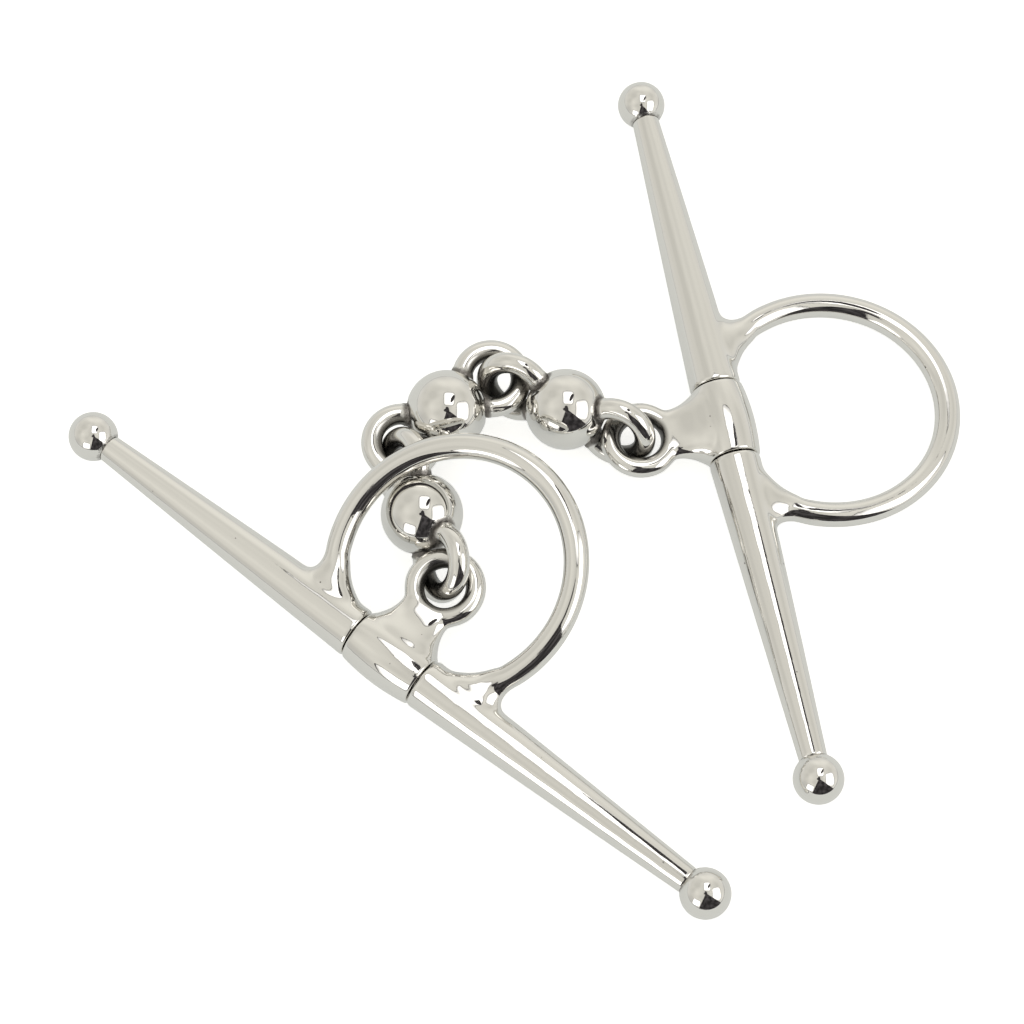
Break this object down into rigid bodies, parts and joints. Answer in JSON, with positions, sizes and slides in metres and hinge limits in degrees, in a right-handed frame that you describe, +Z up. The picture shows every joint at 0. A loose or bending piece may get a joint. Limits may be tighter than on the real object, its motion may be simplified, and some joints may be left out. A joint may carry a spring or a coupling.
{
  "type": "snaffle bit",
  "caption": "Full-cheek snaffle bit with a ball-link chain mouthpiece, swivelling sleeves and round rein rings, lying folded.",
  "frame": {"origin": "bottom centre of the whole object's box as it lies, on the surface that it rests on", "axes": "+Z up from the surface; +X and +Y level, with +Y away from a viewer who has the propped cheek at the lower left"},
  "size_m": [0.1872, 0.1882, 0.0233],
  "materials": {
    "polished_steel": "mirror-polished stainless steel",
    "cast_steel": "plain turned stainless steel, hidden inside"
  },
  "bodies": {
    "link_2": {"link_2_ball": "polished_steel", "link_2_back_eye": "polished_steel", "link_2_front_eye": "polished_steel"},
    "link_1": {"link_1_ball": "polished_steel", "link_1_back_eye": "polished_steel", "link_1_front_eye": "polished_steel"},
    "link_3": {"link_3_ball": "polished_steel", "link_3_back_eye": "polished_steel", "link_3_front_eye": "polished_steel"},
    "left_sleeve": {"left_sleeve": "polished_steel"},
    "right_sleeve": {"right_sleeve": "polished_steel"},
    "left_cheek": {"left_cheek_ring": "polished_steel", "left_upper_arm": "polished_steel", "left_lower_arm": "polished_steel", "left_upper_ball": "polished_steel", "left_lower_ball": "polished_steel", "left_spindle": "cast_steel"},
    "right_cheek": {"right_cheek_ring": "polished_steel", "right_upper_arm": "polished_steel", "right_lower_arm": "polished_steel", "right_upper_ball": "polished_steel", "right_lower_ball": "polished_steel", "right_spindle": "cast_steel"}
  },
  "joints": [
    {"name": "link_1_swing", "type": "hinge", "parent": "link_2", "child": "link_1", "pos_m": [-0.0241, 0.00649, 0.00809], "axis": [-0.0536, 0.1299, -0.9901], "range_deg": [-10, 80]},
    {"name": "left_sleeve_swing", "type": "hinge", "parent": "link_1", "child": "left_sleeve", "pos_m": [-0.01469, -0.02616, 0.00875], "axis": [-0.0723, -0.1157, 0.9907], "range_deg": [0, 15]},
    {"name": "left_cheek_swivel", "type": "hinge", "parent": "left_sleeve", "child": "left_cheek", "pos_m": [-0.02577, -0.04039, 0.00628], "axis": [0.7901, -0.6128, -0.0139], "range_deg": [0, 315]},
    {"name": "link_3_swing", "type": "hinge", "parent": "link_2", "child": "link_3", "pos_m": [-0.00536, 0.02081, 0.00895], "axis": [0.0536, -0.1299, 0.9901], "range_deg": [-10, 80]},
    {"name": "right_sleeve_swing", "type": "hinge", "parent": "link_3", "child": "right_sleeve", "pos_m": [0.02579, 0.00766, 0.00668], "axis": [-0.0177, -0.0179, -0.9997], "range_deg": [-60, 20]},
    {"name": "right_cheek_swivel", "type": "hinge", "parent": "right_sleeve", "child": "right_cheek", "pos_m": [0.0436, 0.01137, 0.0063], "axis": [0.2045, -0.9788, 0.0139], "range_deg": [-135, 150]}
  ]
}
